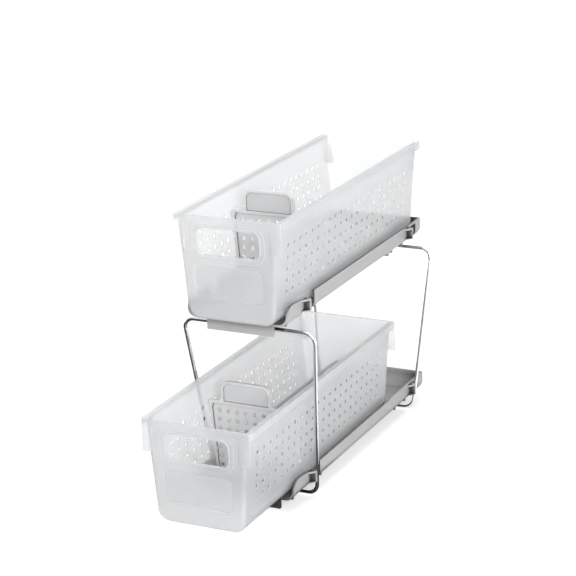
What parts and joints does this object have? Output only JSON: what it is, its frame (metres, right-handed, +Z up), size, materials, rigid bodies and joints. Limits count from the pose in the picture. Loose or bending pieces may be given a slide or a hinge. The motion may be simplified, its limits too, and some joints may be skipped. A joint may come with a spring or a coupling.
{
  "type": "under sink organizer",
  "caption": "Tiered slide-out organizer: perforated frosted bins with dividers slide on grey trays that are stacked on chrome wire frames.",
  "frame": {"origin": "on the floor, at the middle of the whole object's footprint as pictured, with the lower bin pulled out", "axes": "+X the organizer's right seen from its front, +Y to its rear, +Z up"},
  "size_m": [0.1874, 0.547, 0.3848],
  "materials": {
    "grey_plastic": "satin moulded, mid grey",
    "chrome_wire": "polished",
    "frosted_plastic": "frosted, translucent",
    "clear_label": "clear film, bare"
  },
  "bodies": {
    "stand": {"lower_tray": "grey_plastic", "upper_tray": "grey_plastic", "front_wire_frame": "chrome_wire", "rear_wire_frame": "chrome_wire"},
    "lower_drawer": {"lower_bin": "frosted_plastic", "lower_bin_label": "clear_label", "lower_divider": "grey_plastic", "lower_divider_label": "clear_label"},
    "upper_drawer": {"upper_bin": "frosted_plastic", "upper_bin_label": "clear_label", "upper_divider": "grey_plastic", "upper_divider_label": "clear_label"}
  },
  "joints": [
    {"name": "lower_bin_slide", "type": "slide", "parent": "stand", "child": "lower_drawer", "axis": [0, -1, 0], "range_m": [-0.1035, 0.088]},
    {"name": "upper_bin_slide", "type": "slide", "parent": "stand", "child": "upper_drawer", "axis": [0, -1, 0], "range_m": [-0.0015, 0.19]}
  ]
}
